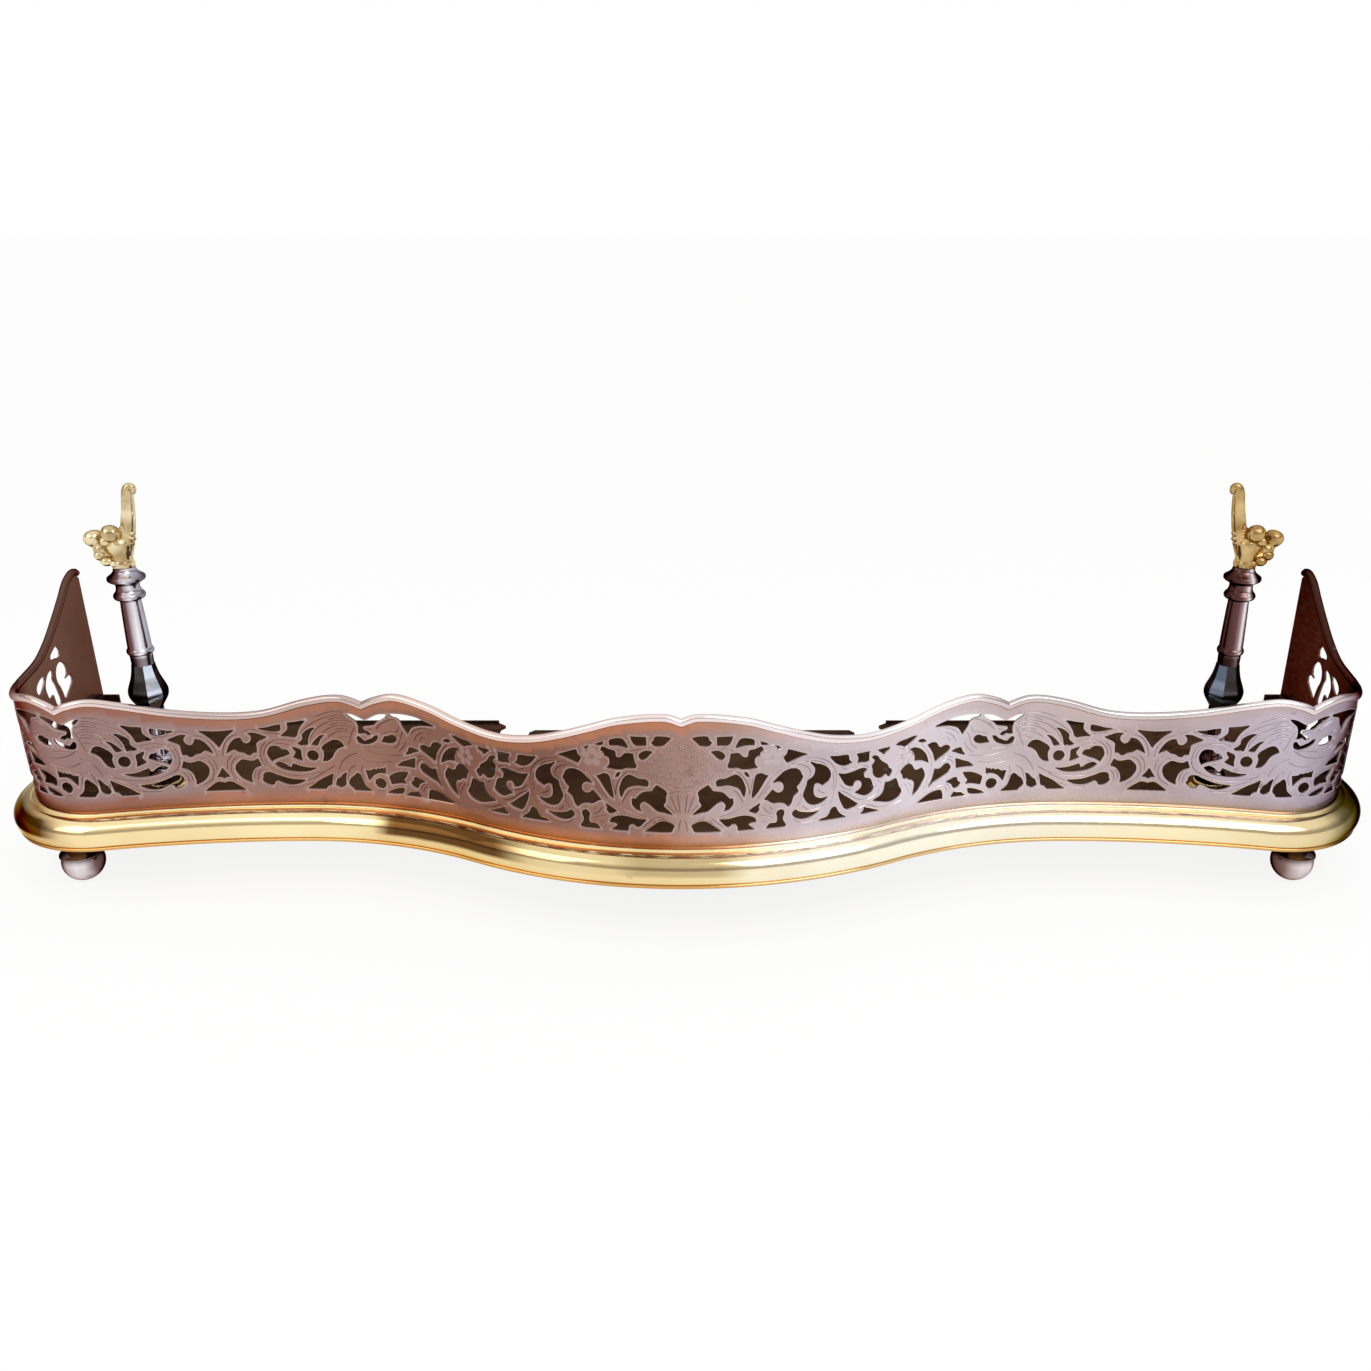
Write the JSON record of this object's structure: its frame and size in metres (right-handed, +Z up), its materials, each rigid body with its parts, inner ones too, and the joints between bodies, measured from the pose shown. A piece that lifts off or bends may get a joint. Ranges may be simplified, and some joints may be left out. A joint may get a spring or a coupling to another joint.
{
  "type": "fire fender",
  "caption": "Serpentine hearth fender: pierced steel frieze with bead rim and rising wings, brass base moulding, iron floor, ball feet and two rests for fire irons.",
  "frame": {"origin": "on the hearth, below the middle of the whole fender", "axes": "+Z up; -Y to the room, the bulging front; +X to the right as seen from the room"},
  "size_m": [1.246, 0.2776, 0.3656],
  "materials": {
    "frieze_steel": "polished, browned with age, pierced and chased",
    "bead_steel": "bright polished steel",
    "turned_steel": "polished turned steel",
    "faceted_steel": "polished dark steel, eight flat sides",
    "brass": "polished, slightly tarnished in the quirks",
    "gilt_brass": "gilt cast brass",
    "floor_iron": "rolled iron, browned",
    "wing_iron": "iron, reddish brown",
    "black_iron": "plain iron, hidden",
    "bright_fasteners": "plain steel"
  },
  "bodies": {
    "root": {"frieze_front": "frieze_steel", "wing_left": "frieze_steel", "wing_right": "frieze_steel", "rim_wing_left": "bead_steel", "rim_outer_left": "bead_steel", "rim_inner_left": "bead_steel", "rim_inner_right": "bead_steel", "rim_outer_right": "bead_steel", "rim_wing_right": "bead_steel", "moulding_front": "brass", "moulding_left": "brass", "moulding_right": "brass", "bar_front": "black_iron", "bar_left": "black_iron", "bar_right": "black_iron", "floor_plate_left": "floor_iron", "floor_plate_middle": "floor_iron", "floor_plate_right": "floor_iron", "seam_strap_left": "black_iron", "seam_strap_right": "black_iron", "back_strap": "black_iron", "cleat_left": "wing_iron", "cleat_right": "wing_iron", "foot_front_left": "turned_steel", "foot_front_right": "turned_steel", "foot_rear_left": "turned_steel", "foot_rear_right": "turned_steel", "pillar_front_left": "black_iron", "pillar_front_right": "black_iron", "pillar_rear_left": "black_iron", "pillar_rear_right": "black_iron", "foot_studs": "bright_fasteners", "rest_base_left": "gilt_brass", "rest_base_right": "gilt_brass", "rest_stem_left": "turned_steel", "rest_stem_right": "turned_steel", "rest_baluster_left": "faceted_steel", "rest_baluster_right": "faceted_steel", "rest_column_left": "turned_steel", "rest_column_right": "turned_steel", "rest_cradle_left": "gilt_brass", "rest_cradle_right": "gilt_brass", "rest_rod_left": "bright_fasteners", "rest_rod_right": "bright_fasteners", "rest_nut_left": "bright_fasteners", "rest_nut_right": "bright_fasteners", "frieze_rivets": "black_iron", "moulding_screws": "brass", "seam_rivets": "black_iron", "back_rivets": "bright_fasteners", "cleat_rivets": "wing_iron"}
  },
  "joints": []
}
